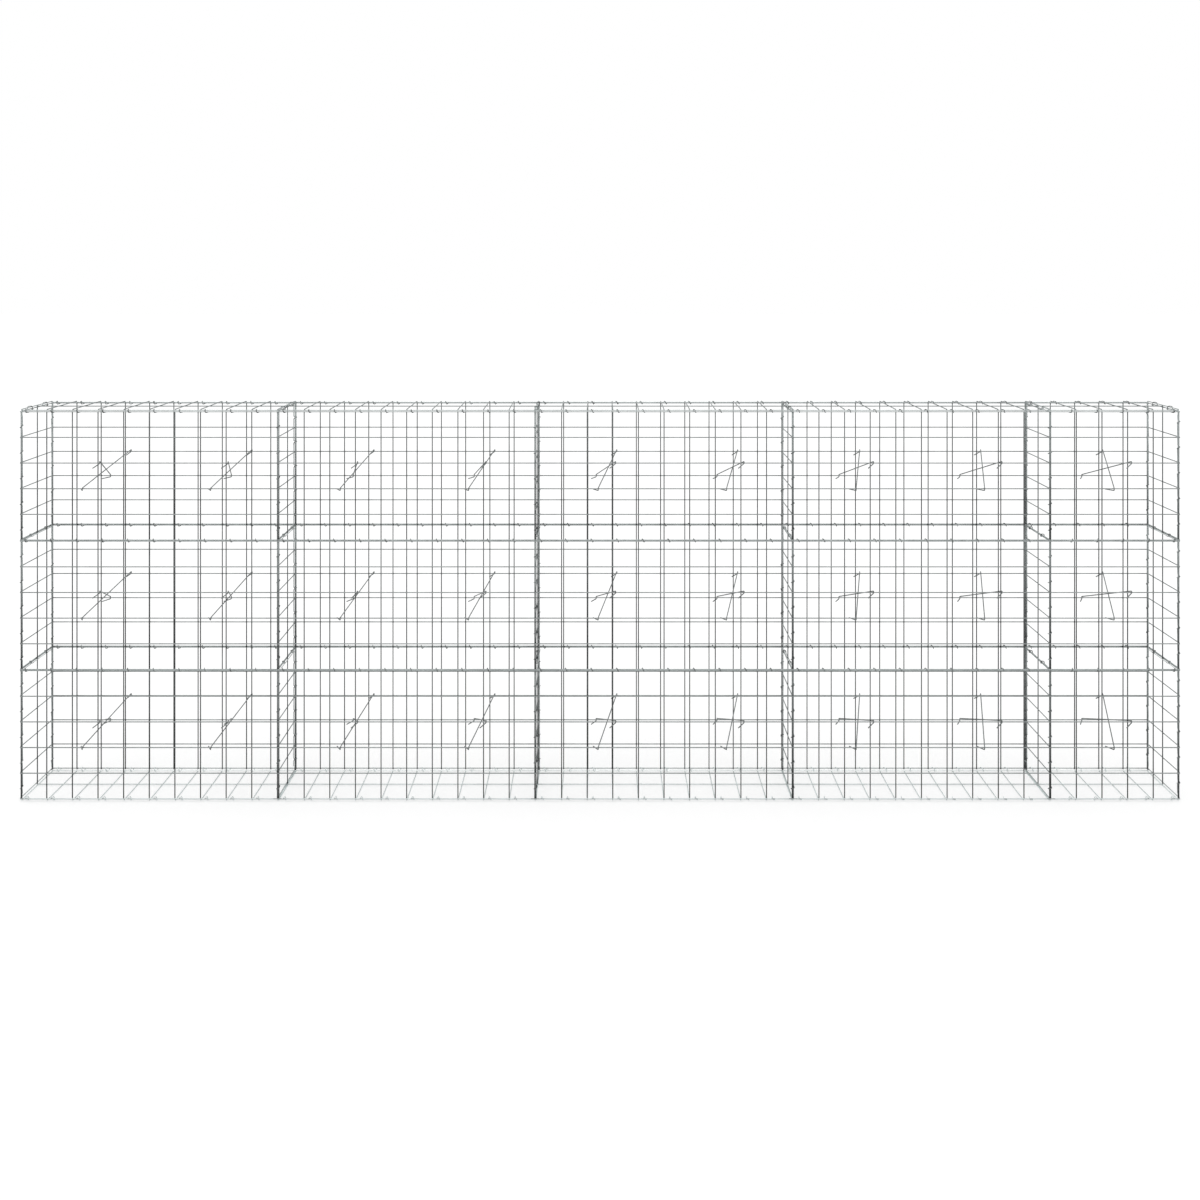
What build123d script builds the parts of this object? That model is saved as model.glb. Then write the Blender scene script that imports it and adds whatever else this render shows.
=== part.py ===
import os

from build123d import *

os.makedirs("parts", exist_ok=True)

# Driving dimensions, in millimetres
cell = 100.0
wire = 4.0
seam_gap = 0.5
cells_long = [10, 10, 10, 10, 5]
cells_deep = 2
cells_high = 5
rows = 3

# Binding spirals: one tight turn in each cell, how far it runs on each side, and where in the cell it starts
spiral_wire = 3.0
spiral_gap = 0.3
spiral_end_gap = 14.0
spiral_side_run = 2.5
upright_phase = 36.5
edge_phase = 20.0
cross_phase = 65.0

# Ties: hooked rods in crossed pairs, from the third level wire of a row to the fourth
# The low tail turns in under its wire and the high one hangs outside: how far along, across and down
tie_wire = 4.0
tie_gap = 0.3
tie_first = 243.0
tie_spacing = 500.0
tie_slant = 77.0
tie_pair_shift = 9.0
tie_cells_up = 2
low_drop = 6.3
high_drop = 1.0
low_tail = (20.0, -28.0, 7.0)
high_tail = (24.0, 8.0, 18.0)

# Neighbouring panels stand one wire and a small gap apart
seam = wire + seam_gap
row_step = cells_high * cell + seam
length = sum(cells_long) * cell + (len(cells_long) - 1) * seam

# From the inside out: the end meshes, the uprights of the front and back, their level wires
side_y = cells_deep * cell / 2
face_y = side_y + seam
level_y = face_y + wire

# From the ground up: the base's cross wires, its long wires, the rows, and the lid's long wires
base_z = wire * 1.5
foot_z = base_z + seam
top_z = foot_z + rows * row_step - seam
lid_z = top_z + seam

bay_starts = [sum(cells_long[:bay]) * cell + bay * seam - length / 2 for bay in range(len(cells_long))]
bay_ends = [start + cells * cell for start, cells in zip(bay_starts, cells_long)]
row_rises = [row * row_step for row in range(rows)]


def welded_mesh(across, up, rises=(0,)):
    """A panel per rise: uprights along local Y, and level wires along local X welded to their outer side."""
    with BuildPart() as mesh:
        with Locations(*[(across * cell / 2, rise + up * cell / 2, 0) for rise in rises]):
            with GridLocations(cell, 0, across + 1, 1):
                Box(wire, up * cell + wire, wire)
        with Locations(*[(across * cell / 2, rise + up * cell / 2, wire) for rise in rises]):
            with GridLocations(0, cell, 1, up + 1):
                Box(across * cell + wire, wire, wire)
    return mesh.part


def middle_and_reach(low, high):
    """The middle of a bundle of wires, and how far out from it a spiral's wire passes."""
    return (low + high) / 2, (high - low) / 2 + spiral_gap + spiral_wire / 2


def spiral(cell_starts, end, phase, reach_x, reach_y):
    """A wire along local Z that turns once round a bundle in each cell, and else runs on its +reach_x side."""
    points = [(reach_x, -reach_y, spiral_end_gap)]
    for start in cell_starts:
        corners = ((reach_x, reach_y), (-reach_x, reach_y), (-reach_x, -reach_y), (reach_x, -reach_y))
        for n, (corner_x, corner_y) in enumerate(corners):
            points.append((corner_x, corner_y, start + phase + n * spiral_side_run))
    points.append((reach_x, -reach_y, end - spiral_end_gap))
    with BuildPart() as turns:
        with BuildLine() as path:
            Polyline(*points)
        with BuildSketch(Plane(origin=path.line @ 0, z_dir=path.line % 0)):
            RegularPolygon(spiral_wire / 2, 4)
        sweep(path=path.line, transition=Transition.RIGHT)
    return turns.part


def tie(low_side):
    """A rod along local Y, hooked round a low wire on one side (-1 is the front) and over a higher one opposite."""
    hook_y = level_y + (wire + tie_wire) / 2 + tie_gap
    lean = cell / (2 * hook_y)
    clear = wire / 2 + tie_gap + tie_wire / 2 * (1 + lean**2) ** 0.5
    low_rise = clear - lean * (hook_y - level_y - wire / 2)
    high_rise = clear + lean * (hook_y - level_y + wire / 2)
    low_y = low_side * hook_y
    high_y = -low_side * hook_y
    with BuildPart() as rod:
        with BuildLine() as path:
            Polyline(
                (-low_tail[0], low_y + low_side * low_tail[1], -low_tail[2]),
                (0, low_y, -low_drop),
                (0, low_y, low_rise),
                (tie_slant, high_y, cell + high_rise),
                (tie_slant, high_y, cell - high_drop),
                (tie_slant - high_tail[0], high_y - low_side * high_tail[1], cell - high_tail[2]),
            )
        with BuildSketch(Plane(origin=path.line @ 0, z_dir=path.line % 0)):
            RegularPolygon(tie_wire / 2, 4)
        sweep(path=path.line, transition=Transition.RIGHT)
    return rod.part


def keep(piece, name):
    """Labels a finished piece and writes its file."""
    piece.part.label = name
    export_step(piece.part, f"parts/{name}.step", write_pcurves=False)


# Meshes that every bay has: front, back, base and lid
faces = {cells: welded_mesh(cells, cells_high, row_rises) for cells in set(cells_long)}
flats = {cells: welded_mesh(cells_deep, cells) for cells in set(cells_long)}

for bay, cells in enumerate(cells_long):
    with BuildPart() as front_mesh:
        with Locations(Plane(origin=(bay_starts[bay], -face_y, foot_z), x_dir=(1, 0, 0), z_dir=(0, -1, 0))):
            add(faces[cells])
    keep(front_mesh, f"front_mesh_bay_{bay + 1}")

    with BuildPart() as back_mesh:
        with Locations(Plane(origin=(bay_ends[bay], face_y, foot_z), x_dir=(-1, 0, 0), z_dir=(0, 1, 0))):
            add(faces[cells])
    keep(back_mesh, f"back_mesh_bay_{bay + 1}")

    with BuildPart() as base_mesh:
        with Locations(Plane(origin=(bay_starts[bay], -side_y, base_z), x_dir=(0, 1, 0), z_dir=(0, 0, -1))):
            add(flats[cells])
    keep(base_mesh, f"base_mesh_bay_{bay + 1}")

    with BuildPart() as lid_mesh:
        with Locations(Plane(origin=(bay_ends[bay], -side_y, lid_z), x_dir=(0, 1, 0), z_dir=(0, 0, 1))):
            add(flats[cells])
    keep(lid_mesh, f"lid_mesh_bay_{bay + 1}")

# The mesh at each bay's left side: the left end, then the partitions
side = welded_mesh(cells_deep, cells_high, row_rises)

for bay, start in enumerate(bay_starts):
    with BuildPart() as left_mesh:
        with Locations(Plane(origin=(start, side_y, foot_z), x_dir=(0, -1, 0), z_dir=(-1, 0, 0))):
            add(side)
    keep(left_mesh, f"partition_mesh_{bay}" if bay else "left_end_mesh")

with BuildPart() as right_end_mesh:
    with Locations(Plane(origin=(bay_ends[-1], -side_y, foot_z), x_dir=(0, 1, 0), z_dir=(1, 0, 0))):
        add(side)
keep(right_end_mesh, "right_end_mesh")

# Upright spirals, round the edge wires of the panels that meet at each end and at each partition
upright_cells = [rise + n * cell for rise in row_rises for n in range(cells_high)]
upright_end = top_z - foot_z
upright_y, upright_reach = middle_and_reach(side_y - wire / 2, face_y + wire / 2)
seam_xs = [start - seam / 2 for start in bay_starts[1:]]

for name, side_sign in (("front", -1), ("back", 1)):
    inward = -side_sign * upright_reach
    turns = spiral(upright_cells, upright_end, upright_phase, upright_reach, inward)
    right_turns = spiral(upright_cells, upright_end, upright_phase, -upright_reach, inward)
    with BuildPart() as upright_spirals:
        with Locations(*[(x, side_sign * upright_y, foot_z) for x in [bay_starts[0], *seam_xs]]):
            add(turns)
        with Locations((bay_ends[-1], side_sign * upright_y, foot_z)):
            add(right_turns)
    keep(upright_spirals, f"upright_spirals_{name}")

# Level spirals that bind the lid and the base to the front and the back, one length to a bay
# Those of the base are as large as those of the lid, and stay just above the ground
edge_y, edge_reach = middle_and_reach(side_y - wire / 2, level_y + wire / 2)
lid_middle, lid_reach = middle_and_reach(top_z - wire / 2, lid_z + wire * 1.5)
base_middle = base_z - wire / 2 - spiral_gap - spiral_wire / 2 + lid_reach

for name, side_sign in (("front", -1), ("back", 1)):
    for edge, middle_z, reach_z in (("lid", lid_middle, -lid_reach), ("base", base_middle, lid_reach)):
        reach_y = side_sign * edge_reach
        turns = {
            cells: spiral([n * cell for n in range(cells)], cells * cell, edge_phase, reach_z, reach_y)
            for cells in set(cells_long)
        }
        with BuildPart() as edge_spirals:
            for start, cells in zip(bay_starts, cells_long):
                foot = (start, side_sign * edge_y, middle_z)
                with Locations(Plane(origin=foot, x_dir=(0, 0, 1), z_dir=(1, 0, 0))):
                    add(turns[cells])
        keep(edge_spirals, f"{edge}_spirals_{name}")

# Level spirals across the wall: they bind the lid to the ends and the partitions, and row to row at both ends
cross_cells = [n * cell for n in range(cells_deep)]
seam_middle, seam_reach = middle_and_reach(-seam - wire / 2, wire / 2)
end_middle, end_reach = middle_and_reach(-wire * 1.5, wire / 2)
end_edges = [(bay_starts[0] + end_middle, end_reach), (bay_ends[-1] - end_middle, -end_reach)]
seam_edges = [(start + seam_middle, seam_reach) for start in bay_starts[1:]]

with BuildPart() as lid_cross_spirals:
    for x, reach in end_edges + seam_edges:
        with Locations(Plane(origin=(x, -side_y, lid_middle), x_dir=(0, 0, 1), z_dir=(0, 1, 0))):
            add(spiral(cross_cells, cells_deep * cell, cross_phase, -lid_reach, reach))
keep(lid_cross_spirals, "lid_spirals_cross")

with BuildPart() as row_end_spirals:
    for x, reach in end_edges:
        for rise in row_rises[1:]:
            middle_z = foot_z + rise + seam_middle
            with Locations(Plane(origin=(x, -side_y, middle_z), x_dir=(1, 0, 0), z_dir=(0, 1, 0))):
                add(spiral(cross_cells, cells_deep * cell, cross_phase, reach, seam_reach))
keep(row_end_spirals, "row_spirals_ends")

# Ties in crossed pairs, two columns to a whole bay and one to a half bay
low_in_front = tie(-1)
low_at_back = tie(1)

for bay, (start, cells) in enumerate(zip(bay_starts, cells_long)):
    columns = [tie_first + n * tie_spacing for n in range(round(cells * cell / tie_spacing))]
    feet = [foot_z + rise + tie_cells_up * cell for rise in row_rises]
    with BuildPart() as ties:
        with Locations(*[(start + column, 0, foot) for column in columns for foot in feet]):
            add(low_in_front)
        with Locations(*[(start + column - tie_pair_shift, 0, foot) for column in columns for foot in feet]):
            add(low_at_back)
    keep(ties, f"ties_bay_{bay + 1}")
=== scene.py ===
import math

import bpy
import numpy as np
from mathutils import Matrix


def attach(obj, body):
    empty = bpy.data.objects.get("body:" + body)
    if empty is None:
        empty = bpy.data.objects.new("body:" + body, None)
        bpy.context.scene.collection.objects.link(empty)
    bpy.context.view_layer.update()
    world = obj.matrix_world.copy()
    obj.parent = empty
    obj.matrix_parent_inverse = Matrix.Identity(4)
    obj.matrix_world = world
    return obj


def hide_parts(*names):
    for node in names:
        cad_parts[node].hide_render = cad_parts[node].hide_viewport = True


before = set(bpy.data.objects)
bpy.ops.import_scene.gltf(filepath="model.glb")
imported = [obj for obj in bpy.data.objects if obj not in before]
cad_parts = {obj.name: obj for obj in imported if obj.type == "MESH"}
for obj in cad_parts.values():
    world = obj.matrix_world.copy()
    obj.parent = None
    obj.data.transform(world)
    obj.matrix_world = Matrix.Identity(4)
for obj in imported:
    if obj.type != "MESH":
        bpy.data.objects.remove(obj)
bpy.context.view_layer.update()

print("frame loaded:", len(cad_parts), "nodes")

# Sizes of the wall, in metres
wall = {
    "cell": 0.1,
    "wire": 0.004,
    "seamGap": 0.0005,        # free space between neighbouring panels
    "bays": [10, 10, 10, 10, 5],
    "cellsDeep": 2,
    "cellsHigh": 5,           # of a panel
    "rows": 3,
}
bays = wall["bays"]
cell = wall["cell"]
wire = wall["wire"]
half = wire / 2
seam = wire + wall["seamGap"]
rowStep = wall["cellsHigh"] * cell + seam
wallLength = sum(bays) * cell + (len(bays) - 1) * seam
wallDepth = wall["cellsDeep"] * cell

# Middles of the wires, going out: the outer wires of the ends, the base and the lid,
# then the uprights of the front and back, then their level wires
sideY = wallDepth / 2
faceY = sideY + seam
levelY = faceY + wire

# Middles of the base's long wires, the lowest and highest level wires, and the lid's long wires
baseZ = wire * 1.5
footZ = baseZ + seam
topZ = footZ + wall["rows"] * rowStep - seam
lidZ = topZ + seam
rowRises = np.arange(wall["rows"]) * rowStep
bayStarts = np.array([sum(bays[:n]) * cell + n * seam for n in range(len(bays))])
bayStarts -= wallLength / 2
bayEnds = bayStarts + np.array(bays) * cell
xAxis, yAxis, zAxis = np.eye(3)

# How finely the wires are drawn
wireDetail = {
    "bevel": 0.0004,          # on a wire's cut ends
    "step": 0.0004,           # between the points that a line is smoothed with
    "bellReach": 4,           # how many widths of the bell curve count on each side of a point
}


# Meshes are made from whole arrays of points
# A part is a dictionary: points, faces as (corner table, material number, smooth) and a tone for each point
def buildPiece(name, parts, materials, nodes):
    starts = np.cumsum([0] + [len(part["points"]) for part in parts])
    faces = [
        (table + start, number, smooth)
        for part, start in zip(parts, starts)
        for table, number, smooth in part["faces"]
    ]
    points = np.concatenate([part["points"] for part in parts])
    tones = np.concatenate([part["tones"] for part in parts])
    corners = np.concatenate([table.ravel() for table, _, _ in faces])
    sizes = np.concatenate([np.full(len(table), table.shape[1]) for table, _, _ in faces])
    numbers = np.concatenate([np.full(len(table), number) for table, number, _ in faces])
    smooth = np.concatenate([np.full(len(table), flag) for table, _, flag in faces])
    mesh = bpy.data.meshes.new(name)
    mesh.vertices.add(len(points))
    mesh.vertices.foreach_set("co", points.astype(np.float32).ravel())
    mesh.loops.add(len(corners))
    mesh.loops.foreach_set("vertex_index", corners.astype(np.int32))
    mesh.polygons.add(len(sizes))
    mesh.polygons.foreach_set("loop_start", (np.cumsum(sizes) - sizes).astype(np.int32))
    mesh.polygons.foreach_set("material_index", numbers.astype(np.int32))
    mesh.polygons.foreach_set("use_smooth", smooth)
    # Each point's tone: a random tone of its wire, with painted light on panel edge wires and painted shade
    # on spiral turns
    wireToneAndPaintedLight = mesh.attributes.new("wireToneAndPaintedLight", "FLOAT", "POINT")
    wireToneAndPaintedLight.data.foreach_set("value", tones.astype(np.float32))
    for material in materials:
        mesh.materials.append(material)
    mesh.update(calc_edges=True)
    mesh.validate()
    piece = bpy.data.objects.new(name, mesh)
    bpy.context.scene.collection.objects.link(piece)
    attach(piece, "root")
    if nodes:
        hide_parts(*nodes)


# Corner tables for points in the order (shape, ring, side)
# They are four-sided faces from each ring to the next, and a cap on each end
def ringFaces(count, rings, sides):
    index = np.arange(count * rings * sides).reshape(count, rings, sides)
    around = np.roll(index, -1, axis=2)
    quads = np.stack([index[:, :-1], around[:, :-1], around[:, 1:], index[:, 1:]], axis=-1)
    caps = np.concatenate([index[:, 0, ::-1], index[:, -1]])
    return quads, caps


# Round wires along many lines at once, where lines is (wires, points, 3), with bevelled and closed ends
# A ring is line + radius * (cos a * u + sin a * v), where v = tangent x u
# The first u is the reference made square to the line, and each next one is the last, made square again
# There is one tone for each wire, or one for each of its points
def tubes(lines, radius, sides, reference, material, tones):
    bevel = wireDetail["bevel"]
    tones = np.broadcast_to(np.reshape(tones, (len(lines), -1)), lines.shape[:2])
    tones = np.concatenate([tones[:, :1], tones, tones[:, -1:]], axis=1)
    tangents = np.gradient(lines, axis=1)
    tangents /= np.linalg.norm(tangents, axis=2, keepdims=True)
    inStart = lines[:, :1] + tangents[:, :1] * bevel
    inEnd = lines[:, -1:] - tangents[:, -1:] * bevel
    lines = np.concatenate([lines[:, :1], inStart, lines[:, 1:-1], inEnd, lines[:, -1:]], axis=1)
    tangents = np.concatenate([tangents[:, :1], tangents, tangents[:, -1:]], axis=1)
    count, rings = lines.shape[:2]
    radii = np.full(rings, radius)
    radii[[0, -1]] -= bevel
    u = np.empty_like(lines)
    across = np.broadcast_to(reference, (count, 3))
    for ring in range(rings):
        tangent = tangents[:, ring]
        across = across - (across * tangent).sum(axis=1, keepdims=True) * tangent
        across = across / np.linalg.norm(across, axis=1, keepdims=True)
        u[:, ring] = across
    v = np.cross(tangents, u)
    angles = np.arange(sides) * 2 * math.pi / sides
    circle = np.cos(angles)[:, None] * u[:, :, None] + np.sin(angles)[:, None] * v[:, :, None]
    points = lines[:, :, None] + radii[:, None, None] * circle
    quads, caps = ringFaces(count, rings, sides)
    return {
        "points": points.reshape(-1, 3),
        "faces": [
            (quads[:, 1:-1].reshape(-1, 4), material, True),
            (quads[:, [0, -1]].reshape(-1, 4), material, False),
            (caps, material, False),
        ],
        "tones": np.repeat(tones, sides),
    }


# Weld beads between two crossing wires
# A profile of (radius, height) is turned round the middle of each crossing
def beads(centres, outward, along, sides, profile, material, tones):
    across = np.cross(outward, along)
    angles = np.arange(sides) * 2 * math.pi / sides
    ring = np.cos(angles)[:, None] * along + np.sin(angles)[:, None] * across
    shape = profile[:, None, :1] * ring + profile[:, None, 1:] * outward
    points = centres[:, None, None] + shape
    quads, caps = ringFaces(len(centres), len(profile), sides)
    return {
        "points": points.reshape(-1, 3),
        "faces": [(quads.reshape(-1, 4), material, True), (caps, material, True)],
        "tones": np.repeat(tones, len(profile) * sides),
    }


# A line through rough points, each coordinate averaged along the line with a bell curve of that width
# Past each end the line goes on straight, so that the ends stay where they are
def smoothed(points, width):
    step = wireDetail["step"]
    lengths = np.concatenate([[0], np.cumsum(np.linalg.norm(np.diff(points, axis=0), axis=1))])
    at = np.linspace(0, lengths[-1], int(lengths[-1] / step))
    dense = np.stack([np.interp(at, lengths, points[:, n]) for n in range(3)], axis=1)
    reach = int(width * wireDetail["bellReach"] / step)
    bell = np.exp(-0.5 * (np.arange(-reach, reach + 1) * step / width) ** 2)
    bell /= bell.sum()
    before = dense[0] + np.arange(-reach, 0)[:, None] * (dense[1] - dense[0])
    after = dense[-1] + np.arange(1, reach + 1)[:, None] * (dense[-1] - dense[-2])
    longer = np.concatenate([before, dense, after])
    return np.stack([np.convolve(longer[:, n], bell, mode="valid") for n in range(3)], axis=1)


# Keeps a few points of a dense line
# There is one for each bend of bendStep radians, and one for each runStep of length
def thinned(line, bendStep, runStep):
    steps = np.diff(line, axis=0)
    lengths = np.linalg.norm(steps, axis=1)
    directions = steps / lengths[:, None]
    bends = np.linalg.norm(np.diff(directions, axis=0), axis=1)
    costs = lengths / runStep + np.concatenate([[0], bends / bendStep])
    spent = np.concatenate([[0], np.cumsum(costs)])
    wanted = np.linspace(0, spent[-1], math.ceil(spent[-1]) + 1)
    return line[np.interp(wanted, spent, np.arange(len(line))).round().astype(int)]


# Finishes: zinc-coated wire, with base colours as linear values. The uses are one zinc in painted lit and
# shaded tones: level wires paler than uprights as painted light from above, base wires and base spirals
# paler against the shade near the floor
# Each use of the wire goes from dark to pale, times painted shade: a share for its panel's head or foot, and
# one for the ground
zinc = {
    "level": {"dark": 0.26, "pale": 0.40, "head": 1.0, "foot": 1.0, "ground": 1.0},
    "base": {"dark": 0.62, "pale": 0.80, "head": 1.0, "foot": 1.0, "ground": 1.0},
    "upright": {"dark": 0.13, "pale": 0.26, "head": 1.0, "foot": 0.3, "ground": 0.4},
    "side": {"dark": 0.17, "pale": 0.31, "head": 1.1, "foot": 0.4, "ground": 0.5},
    "binder": {"dark": 0.14, "pale": 0.62, "head": 1.0, "foot": 1.0, "ground": 0.9},
    "baseBinder": {"dark": 0.80, "pale": 0.80, "head": 1.0, "foot": 1.0, "ground": 1.0},
    "tie": {"dark": 0.20, "pale": 0.34, "head": 1.0, "foot": 0.85, "ground": 0.8},
    "darkest": 0.05,          # the least of a wire's own shade, before those shares
    "ramp": (0.35, 0.95),     # the noise and tone that show as dark and as pale
    "tint": (0.93, 1.0, 0.995),
    "metallic": 0.45,
    "specular": 0.3,
    "roughness": (0.58, 0.36),    # from the darkest crystals to the palest
    "grainScale": 420.0,      # crystals of the zinc coat, to the metre
    "grainShare": 0.35,
    "cloudScale": 34.0,       # slow change of tone along a wire
    "cloudDetail": 4.0,
    "bumpScale": 1260.0,
    "bumpDetail": 3.0,
    "bumpStrength": 0.12,
    "bumpDepth": 0.0004,
}


def addNode(tree, kind, **values):
    node = tree.nodes.new(kind)
    for name, value in values.items():
        if name in node.inputs:
            node.inputs[name].default_value = value
        else:
            setattr(node, name, value)
    return node


# Each value is a number or another node's output
def mathNode(tree, operation, *values):
    node = addNode(tree, "ShaderNodeMath", operation=operation)
    for socket, value in zip(node.inputs, values):
        if isinstance(value, bpy.types.NodeSocket):
            tree.links.new(value, socket)
        else:
            socket.default_value = value
    return node.outputs[0]


def mapped(tree, value, fromRange, toRange, clamp=True):
    node = addNode(tree, "ShaderNodeMapRange", clamp=clamp)
    node.inputs["From Min"].default_value, node.inputs["From Max"].default_value = fromRange
    node.inputs["To Min"].default_value, node.inputs["To Max"].default_value = toRange
    tree.links.new(value, node.inputs["Value"])
    return node.outputs[0]


# Crystal grain, slow clouds and a tone of each wire's own with painted light and shade in it, times painted
# shade that darkens towards each panel's foot and the ground
def zincMaterial(name, use):
    greys = zinc[use]
    material = bpy.data.materials.new(name)
    material.use_nodes = True
    tree = material.node_tree
    shader = tree.nodes["Principled BSDF"]
    shader.inputs["Metallic"].default_value = zinc["metallic"]
    shader.inputs["Specular IOR Level"].default_value = zinc["specular"]
    place = addNode(tree, "ShaderNodeTexCoord").outputs["Object"]
    grain = addNode(tree, "ShaderNodeTexVoronoi", Scale=zinc["grainScale"])
    cloud = addNode(tree, "ShaderNodeTexNoise", Scale=zinc["cloudScale"], Detail=zinc["cloudDetail"])
    rough = addNode(tree, "ShaderNodeTexNoise", Scale=zinc["bumpScale"], Detail=zinc["bumpDetail"])
    for texture in (grain, cloud, rough):
        tree.links.new(place, texture.inputs["Vector"])
    crystals = grain.outputs["Color"]
    ownToneAndPaintedLight = addNode(tree, "ShaderNodeAttribute", attribute_name="wireToneAndPaintedLight").outputs["Fac"]
    grained = mathNode(tree, "MULTIPLY_ADD", crystals, zinc["grainShare"], cloud.outputs["Fac"])
    paleness = mathNode(tree, "ADD", grained, ownToneAndPaintedLight)
    shade = mapped(tree, paleness, zinc["ramp"], (greys["dark"], greys["pale"]), clamp=False)
    shade = mathNode(tree, "MAXIMUM", shade, zinc["darkest"])

    # Painted shade by height: darker towards each panel's foot, starting again at each row, and darker
    # towards the ground
    height = addNode(tree, "ShaderNodeSeparateXYZ")
    tree.links.new(place, height.inputs[0])
    z = height.outputs["Z"]
    rows = mathNode(tree, "DIVIDE", mathNode(tree, "SUBTRACT", z, footZ - half), rowStep)
    inPanel = mathNode(tree, "FRACT", rows)
    panelPaintedShade = mapped(tree, inPanel, (0, 1), (greys["foot"], greys["head"]))
    groundPaintedShade = mapped(tree, z, (0, topZ), (greys["ground"], 1))
    shade = mathNode(tree, "MULTIPLY", shade, mathNode(tree, "MULTIPLY", panelPaintedShade, groundPaintedShade))
    color = addNode(tree, "ShaderNodeCombineColor")
    for channel, share in zip(color.inputs, zinc["tint"]):
        tree.links.new(mathNode(tree, "MULTIPLY", shade, share), channel)
    tree.links.new(color.outputs[0], shader.inputs["Base Color"])

    gloss = mapped(tree, crystals, (0, 1), zinc["roughness"])
    tree.links.new(gloss, shader.inputs["Roughness"])
    bump = addNode(tree, "ShaderNodeBump", Strength=zinc["bumpStrength"], Distance=zinc["bumpDepth"])
    tree.links.new(rough.outputs["Fac"], bump.inputs["Height"])
    tree.links.new(bump.outputs["Normal"], shader.inputs["Normal"])
    return material


levelZinc = zincMaterial("zinc level wires", "level")
uprightZinc = zincMaterial("zinc uprights", "upright")
sideZinc = zincMaterial("zinc side uprights", "side")
baseZinc = zincMaterial("zinc base wires", "base")
binderZinc = zincMaterial("zinc spirals", "binder")
baseBinderZinc = zincMaterial("zinc base spirals", "baseBinder")
tieZinc = zincMaterial("zinc ties", "tie")

# For a mesh: the finish of its uprights and that of its level wires, one zinc in painted tones, uprights
# darker and level wires paler as painted light from above
meshZinc = [uprightZinc, levelZinc]
sideMeshZinc = [sideZinc, levelZinc]
lidZinc = [levelZinc, levelZinc]
baseMeshZinc = [baseZinc, baseZinc]
print("finishes made")

# Welded mesh panels
meshLook = {
    "sides": 12,
    "beadSides": 8,
    "beadProfile": [(0.00136, -0.0011), (0.0017, -0.0005), (0.0017, 0.0005), (0.00136, 0.0011)],
    "toneSpread": 0.08,
    # Painted light: a panel's edge wires made paler against the shade where they bundle with the next
    # panel's
    "edgePaintedLight": 1.4,          # how much paler a panel's first and last uprights are
    "edgeLevelPaintedLight": 0.65,    # the same for its first and last level wires
    "seed": 11,
}
meshRandom = np.random.default_rng(meshLook["seed"])


# Straight wires between two end points, and a bead at each crossing
# A crossing is origin + i * cell * acrossAxis + j * cell * upAxis, plus the panel's rise
def weldedPanels(origin, acrossAxis, upAxis, outAxis, across, up, rises=(0.0,)):
    columns = np.arange(across + 1) * cell
    levels = (np.array(rises)[:, None] + np.arange(up + 1) * cell).ravel()
    feet = np.repeat(rises, len(columns)) - half
    lowEnds = origin + np.tile(columns, len(rises))[:, None] * acrossAxis + feet[:, None] * upAxis
    uprights = np.stack([lowEnds, lowEnds + (up * cell + wire) * upAxis], axis=1)
    leftEnds = origin + levels[:, None] * upAxis + wire * outAxis - half * acrossAxis
    levelWires = np.stack([leftEnds, leftEnds + (across * cell + wire) * acrossAxis], axis=1)
    crossings = columns[:, None] * acrossAxis + levels[:, None, None] * upAxis + origin + half * outAxis
    crossings = crossings.reshape(-1, 3)
    spread = meshLook["toneSpread"]
    uprightTones = meshRandom.uniform(-spread, spread, len(uprights)).reshape(len(rises), -1)
    # Painted light: the first and last wires of each panel paler, against the shade where they bundle
    uprightTones[:, [0, -1]] += meshLook["edgePaintedLight"]
    levelTones = meshRandom.uniform(-spread, spread, len(levelWires)).reshape(len(rises), -1)
    levelTones[:, [0, -1]] += meshLook["edgeLevelPaintedLight"]
    beadTones = np.full(len(crossings), -spread)
    profile = np.array(meshLook["beadProfile"])
    return [
        tubes(uprights, half, meshLook["sides"], outAxis, 0, uprightTones.ravel()),
        tubes(levelWires, half, meshLook["sides"], outAxis, 1, levelTones.ravel()),
        beads(crossings, outAxis, upAxis, meshLook["beadSides"], profile, 0, beadTones),
    ]


# All rows of a front or back, from the foot of one end
def faceWires(name, foot, acrossAxis, outAxis, cells, node):
    origin = foot + faceY * outAxis + footZ * zAxis
    panels = weldedPanels(origin, acrossAxis, zAxis, outAxis, cells, wall["cellsHigh"], rowRises)
    buildPiece(name, panels, meshZinc, [node])


# All rows of an end or a partition, at x along the wall
def sideWires(name, x, acrossAxis, outAxis, node):
    origin = x * xAxis - sideY * acrossAxis + footZ * zAxis
    panels = weldedPanels(origin, acrossAxis, zAxis, outAxis, wall["cellsDeep"], wall["cellsHigh"], rowRises)
    buildPiece(name, panels, sideMeshZinc, [node])


# A base or a lid, from the foot of one end: its uprights lie along the wall, and its level wires across it
def flatWires(name, foot, z, alongAxis, outAxis, cells, materials, node):
    origin = foot - sideY * yAxis + z * zAxis
    panel = weldedPanels(origin, yAxis, alongAxis, outAxis, wall["cellsDeep"], cells)
    buildPiece(name, panel, materials, [node])


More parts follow.
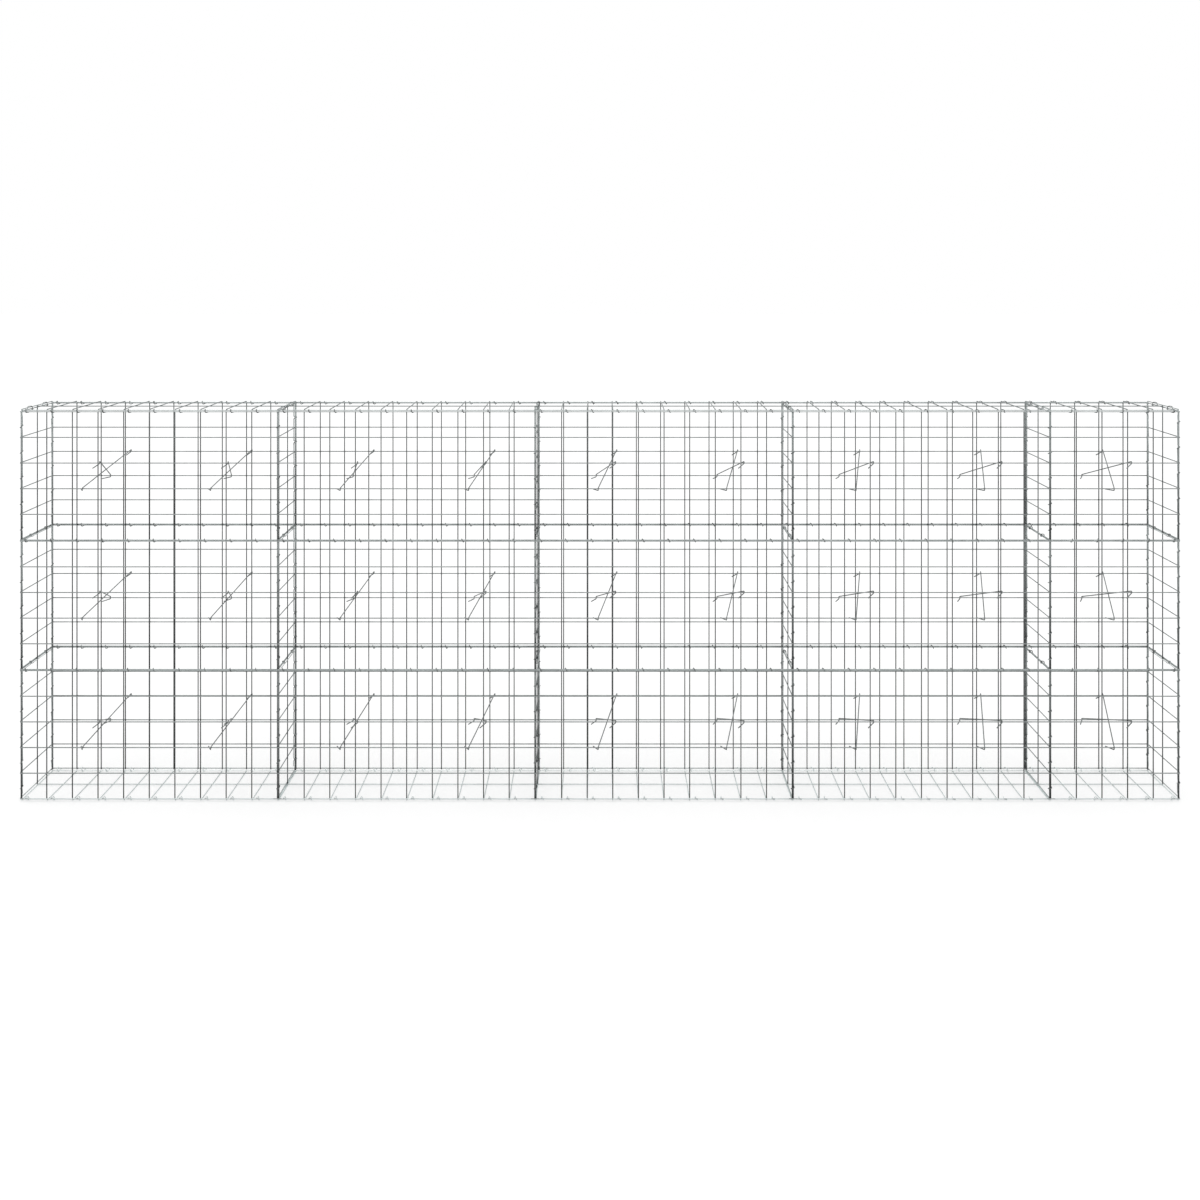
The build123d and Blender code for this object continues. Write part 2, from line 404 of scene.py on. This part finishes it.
for number, cells in enumerate(bays):
    bay = f"bay_{number + 1}"
    left = bayStarts[number] * xAxis
    right = bayEnds[number] * xAxis
    faceWires(f"front_wires_{bay}", left, xAxis, -yAxis, cells, f"front_mesh_{bay}")
    faceWires(f"back_wires_{bay}", right, -xAxis, yAxis, cells, f"back_mesh_{bay}")
    flatWires(f"base_wires_{bay}", left, baseZ, xAxis, -zAxis, cells, baseMeshZinc, f"base_mesh_{bay}")
    flatWires(f"lid_wires_{bay}", right, lidZ, -xAxis, zAxis, cells, lidZinc, f"lid_mesh_{bay}")
    sideName = f"partition_wires_{number}" if number else "left_end_wires"
    sideNode = f"partition_mesh_{number}" if number else "left_end_mesh"
    sideWires(sideName, bayStarts[number], -yAxis, -xAxis, sideNode)
sideWires("right_end_wires", bayEnds[-1], yAxis, xAxis, "right_end_mesh")
print("mesh panels made")

# Binding spirals: one tight turn in each cell, and else a straight run along one side of the wires they bind
spiralLook = {
    "wire": 0.003,
    "gap": 0.00025,
    "endGap": 0.014,          # from the middle of a panel's last wire to the spiral's end
    # How far the straight runs lie below the upper of the wires that they bind, and on which side
    "runs": {
        "front": {"lid": (0.0065, "inside"), "base": (-0.0022, "outside"), "row": (0.0053, "inside")},
        "back": {"lid": (0.0045, "outside"), "base": (0.0021, "outside"), "row": (0.0039, "outside")},
    },
    "crossRun": 0.0053,       # the same between the rows of an end or partition
    "frontBaseCut": (0.0052, 0.0122),    # how those turns cut their lower outer corner, which is empty
    "sideRun": 0.0035,        # how far a turn goes along the bundle on each of its sides
    "lidSideRun": 0.008,      # the same on the lid's edges across the wall
    "turnSteps": [-1.7, -1.5, -0.5, 0.5, 1.4, 1.6, 1.7],
    # From a mesh wire to the middle of the next turn
    "phases": {"upright": 0.040, "lid": 0.021, "base": 0.0245, "row": 0.0195, "cross": 0.062},
    "rounding": 0.0028,       # how far the turns' corners are smoothed
    "bendStep": 0.65,
    "runStep": 0.1,
    "sides": 6,
    "toneSpread": 0.06,
    # Painted shade: the turns darker where they wrap round the bundle, and the straight runs paler
    "runTone": 0.25,          # the turns show dark, and the straight runs pale
    "turnPaintedShade": -0.2,
    "seed": 23,
}
spiralRandom = np.random.default_rng(spiralLook["seed"])
spiralRadius = spiralLook["wire"] / 2


# One wire along its third coordinate, wound round the bundle between (aLow, aHigh) and (bLow, bHigh)
# It runs straight at runA on the +b side, and each turn goes round by -a, -b and +a
# The turn's corners stand turnSteps * sideRun past the turn's middle
# Where the corner of +a and +b holds no wire, cut says how far from it the turn leaves each side
def winding(aRange, bRange, runA, turnsAt, end, cut=(0, 0), sideRun=spiralLook["sideRun"]):
    clear = spiralLook["gap"] + spiralRadius
    aLow, aHigh = aRange[0] - clear, aRange[1] + clear
    bLow, bHigh = bRange[0] - clear, bRange[1] + clear
    last = [(aHigh, bHigh - cut[1]), (aHigh - cut[0], bHigh)]
    turn = [(runA, bHigh), (aLow, bHigh), (aLow, bLow), (aHigh, bLow), *last, (runA, bHigh)]
    along = turnsAt[:, None] + np.array(spiralLook["turnSteps"]) * sideRun
    corners = np.broadcast_to(turn, (len(along), len(turn), 2))
    points = np.concatenate([corners, along[..., None]], axis=2).reshape(-1, 3)
    first = [(runA, bHigh, spiralLook["endGap"])]
    final = [(runA, bHigh, end - spiralLook["endGap"])]
    line = smoothed(np.concatenate([first, points, final]), spiralLook["rounding"])
    return thinned(line, spiralLook["bendStep"], spiralLook["runStep"])


# Each placed winding: point = origin + a * aAxis + b * bAxis + along * runAxis
# The tone changes with how far a point is from the straight run: the turns get painted shade
def bindings(name, placed, nodes, material=binderZinc):
    parts = []
    spread = spiralLook["toneSpread"]
    for line, origin, aAxis, bAxis, runAxis in placed:
        points = np.array(origin) + line @ np.array([aAxis, bAxis, runAxis])
        fromRun = np.linalg.norm(line[:, :2] - line[0, :2], axis=1)
        tones = np.interp(fromRun, (0, spiralLook["wire"]), (spiralLook["runTone"], spiralLook["turnPaintedShade"]))
        tones += spiralRandom.uniform(-spread, spread)
        parts.append(tubes(points[None], spiralRadius, spiralLook["sides"], aAxis, 0, tones))
    buildPiece(name, parts, [material], nodes)


# The middles of the turns, one in each cell
def turnPlaces(cells, use):
    return np.arange(cells) * cell + spiralLook["phases"][use]


# Upright ones: a from the bay's first upright to the right, b from the uprights of the face inwards
# The straight run lies behind that upright, but left of the bundle at the first partition
uprightTurns = (rowRises[:, None] + turnPlaces(wall["cellsHigh"], "upright")).ravel()
uprightEnd = topZ - footZ
uprightB = (-half, seam + half)
endUpright = winding((-half, half), uprightB, 0, uprightTurns, uprightEnd)
seamA = (-seam - half, half)
seamUpright = winding(seamA, uprightB, 0, uprightTurns, uprightEnd)
leftSeamUpright = winding(seamA, uprightB, seamA[0] - spiralRadius, uprightTurns, uprightEnd)
uprightLines = [endUpright, leftSeamUpright, *[seamUpright] * (len(bays) - 2)]

# Level ones: a from the upper of two level wires down to the lower
levelA = (-half, seam + half)
edgeDepth = levelY - sideY + half
rowDepth = wire + half


# The spirals along one face that bind its lid, its base or its rows, with one wire to a bay at each height
# b goes from the level wires to that depth in the wall, or back out again where the runs lie outside
# In front, the spirals of the last bay are wound from its right end
def levelBindings(face, sign, edge, heights, depth, nodes, material=binderZinc):
    runA, side = spiralLook["runs"][face][edge]
    outward = sign * yAxis
    bRange, bAxis = ((-depth, half), outward) if side == "outside" else ((-half, depth), -outward)
    cut = spiralLook["frontBaseCut"] if (face, edge) == ("front", "base") else (0, 0)
    placed = []
    for number, cells in enumerate(bays):
        line = winding(levelA, bRange, runA, turnPlaces(cells, edge), cells * cell, cut)
        fromRight = face == "front" and number == len(bays) - 1
        foot, runAxis = (bayEnds[number], -xAxis) if fromRight else (bayStarts[number], xAxis)
        placed += [(line, (foot, sign * levelY, z), -zAxis, bAxis, runAxis) for z in heights]
    bindings(f"{edge}_bindings_{face}", placed, nodes, material)


for face, sign in (("front", -1), ("back", 1)):
    y = sign * faceY
    inward = -sign * yAxis
    placed = [(line, (x, y, footZ), xAxis, inward, zAxis) for line, x in zip(uprightLines, bayStarts)]
    # The right end's is wound from its top down, and the other way round
    placed.append((endUpright, (bayEnds[-1], y, topZ), -xAxis, inward, -zAxis))
    bindings(f"upright_bindings_{face}", placed, [f"upright_spirals_{face}"])
    levelBindings(face, sign, "lid", [lidZ], edgeDepth, [f"lid_spirals_{face}"])
    levelBindings(face, sign, "base", [footZ], edgeDepth, [f"base_spirals_{face}"], baseBinderZinc)
    levelBindings(face, sign, "row", footZ + rowRises[1:], rowDepth, [])

# Those across the wall on the lid: a from the lid's cross wires down to the sides' highest level wire
# They run straight outside an end, and on the left of a partition
crossTurns = turnPlaces(wall["cellsDeep"], "cross")
lidTop = lidZ + wire
lidRun = seam + wire
lidA = (-half, lidRun + half)
lidSideRun = spiralLook["lidSideRun"]
endLid = winding(lidA, (-half, wire + half), lidRun, crossTurns, wallDepth, sideRun=lidSideRun)
seamLid = winding(lidA, (-half, seam + half), lidRun, crossTurns, wallDepth, sideRun=lidSideRun)
lidEdges = [(endLid, bayStarts[0], -xAxis), (endLid, bayEnds[-1], xAxis)]
lidEdges += [(seamLid, start, -xAxis) for start in bayStarts[1:]]
placed = [(line, (x, -sideY, lidTop), -zAxis, outward, yAxis) for line, x, outward in lidEdges]
bindings("lid_bindings_cross", placed, ["lid_spirals_cross"])

# Those across the wall between rows: b from the level wires of an end or partition to behind its uprights
rowLine = winding(levelA, (-half, rowDepth), spiralLook["crossRun"], crossTurns, wallDepth)


# One wire between each two rows of the end or partition whose level wires are at x
def rowsAcross(x, inward):
    return [(rowLine, (x, -sideY, footZ + rise), -zAxis, inward, yAxis) for rise in rowRises[1:]]


endRows = rowsAcross(bayStarts[0] - wire, xAxis) + rowsAcross(bayEnds[-1] + wire, -xAxis)
bindings("row_bindings_ends", endRows, ["row_spirals_ends"])
partitionRows = [row for start in bayStarts[1:] for row in rowsAcross(start - wire, xAxis)]
bindings("row_bindings_partitions", partitionRows, [])
print("spirals made")

# Ties: hooked rods in crossed pairs
tieLook = {
    "wire": 0.004,
    "gap": 0.0003,
    "first": 0.243,           # from a bay's start to its first pair
    "spacing": 0.5,
    "slant": 0.077,           # how far right of the low hook the high one is
    "pairShift": 0.009,       # how far left of the first rod of a pair the second one stands
    "cellsUp": 2,             # from a row's lowest level wire to the low hook's
    "lowDrop": 0.0063,        # how far below its level wire a hook's corner is
    "highDrop": 0.001,
    "lowTail": (0.020, -0.028, 0.007),      # how far left and out from that corner, and below the wire
    "highTail": (0.024, 0.0079, 0.018),
    "rounding": 0.0018,
    "bendStep": 0.22,
    "runStep": 0.1,
    "sides": 12,
    "toneSpread": 0.12,
    "seed": 5,
}
tieRandom = np.random.default_rng(tieLook["seed"])


# A rod round a low level wire on one side and over a higher one on the other, at lowSide -1 for low in front
# Between the hooks it passes both wires by the gap
def tieLine(lowSide):
    hookY = levelY + (wire + tieLook["wire"]) / 2 + tieLook["gap"]
    lean = cell / (2 * hookY)
    clear = half + tieLook["gap"] + tieLook["wire"] / 2 * math.hypot(1, lean)
    lowRise = clear - lean * (hookY - levelY - half)
    highRise = clear + lean * (hookY - levelY + half)
    lowY = lowSide * hookY
    highY = -lowSide * hookY
    slant = tieLook["slant"]
    low = tieLook["lowTail"]
    high = tieLook["highTail"]
    rough = np.array([
        (-low[0], lowY + lowSide * low[1], -low[2]),
        (0, lowY, -tieLook["lowDrop"]),
        (0, lowY, lowRise),
        (slant, highY, cell + highRise),
        (slant, highY, cell - tieLook["highDrop"]),
        (slant - high[0], highY - lowSide * high[1], cell - high[2]),
    ])
    return thinned(smoothed(rough, tieLook["rounding"]), tieLook["bendStep"], tieLook["runStep"])


# The same rod at each place, with a tone of its own
def tieTubes(line, places):
    lines = np.array(places)[:, None] + line
    tones = tieRandom.uniform(-tieLook["toneSpread"], tieLook["toneSpread"], len(places))
    return tubes(lines, tieLook["wire"] / 2, tieLook["sides"], zAxis, 0, tones)


lowInFront = tieLine(-1)
lowAtBack = tieLine(1)
for number, cells in enumerate(bays):
    count = round(cells * cell / tieLook["spacing"])
    columns = bayStarts[number] + tieLook["first"] + tieLook["spacing"] * np.arange(count)
    heights = footZ + rowRises + tieLook["cellsUp"] * cell
    places = [(x, 0, z) for x in columns for z in heights]
    shifted = [(x - tieLook["pairShift"], y, z) for x, y, z in places]
    rods = [tieTubes(lowInFront, places), tieTubes(lowAtBack, shifted)]
    buildPiece(f"tie_rods_bay_{number + 1}", rods, [tieZinc], [f"ties_bay_{number + 1}"])
print("ties made")

# Floor, light and camera
stageLook = {
    "floorSize": 60.0,
    "floorGrey": 0.55,
    "floorGlow": 0.52,        # for camera, glossy and transmission rays alone, so that it shows white
    "worldLight": 0.65,
    "sunLight": 1.1,
    "sunWidth": 60.0,         # degrees, so that shadows are soft
    "sunTurn": (8.0, -6.0),   # degrees from straight down
}


# 1 for the rays that show a surface or the sky itself: camera, glossy and transmission rays
def seenDirectly(tree):
    path = addNode(tree, "ShaderNodeLightPath").outputs
    shiny = mathNode(tree, "MAXIMUM", path["Is Glossy Ray"], path["Is Transmission Ray"])
    return mathNode(tree, "MAXIMUM", path["Is Camera Ray"], shiny)


floorMesh = bpy.data.meshes.new("floor")
reach = stageLook["floorSize"] / 2
floorCorners = [(-reach, -reach, 0), (reach, -reach, 0), (reach, reach, 0), (-reach, reach, 0)]
floorMesh.from_pydata(floorCorners, [], [(0, 1, 2, 3)])
floor = bpy.data.objects.new("floor", floorMesh)
bpy.context.scene.collection.objects.link(floor)
floorPaint = bpy.data.materials.new("pale floor")
floorPaint.use_nodes = True
tree = floorPaint.node_tree
paint = tree.nodes["Principled BSDF"]
paint.inputs["Base Color"].default_value = (*[stageLook["floorGrey"]] * 3, 1)
paint.inputs["Roughness"].default_value = 1.0
paint.inputs["Specular IOR Level"].default_value = 0.0
paint.inputs["Emission Color"].default_value = (1, 1, 1, 1)
glow = mathNode(tree, "MULTIPLY", seenDirectly(tree), stageLook["floorGlow"])
tree.links.new(glow, paint.inputs["Emission Strength"])
floorMesh.materials.append(floorPaint)

world = bpy.data.worlds.new("studio")
bpy.context.scene.world = world
world.use_nodes = True
tree = world.node_tree
sky = tree.nodes["Background"]
sky.inputs["Color"].default_value = (1, 1, 1, 1)
strength = mapped(tree, seenDirectly(tree), (0, 1), (stageLook["worldLight"], 1))
tree.links.new(strength, sky.inputs["Strength"])

lamp = bpy.data.lights.new("overhead", "SUN")
lamp.energy = stageLook["sunLight"]
lamp.angle = math.radians(stageLook["sunWidth"])
overhead = bpy.data.objects.new("overhead", lamp)
overhead.rotation_euler = (*[math.radians(turn) for turn in stageLook["sunTurn"]], 0)
bpy.context.scene.collection.objects.link(overhead)

cameraLook = {
    "at": (0.0, -3.7235, 2.1245),
    "lens": 27.82,
    "shiftY": -0.2862,        # the camera looks level, and the picture is framed below its axis
}
lens = bpy.data.cameras.new("camera")
lens.lens = cameraLook["lens"]
lens.shift_y = cameraLook["shiftY"]
camera = bpy.data.objects.new("camera", lens)
camera.location = cameraLook["at"]
camera.rotation_euler = (math.pi / 2, 0, 0)
bpy.context.scene.collection.objects.link(camera)
bpy.context.scene.camera = camera
bpy.context.scene.view_settings.view_transform = "Standard"
print("stage made")
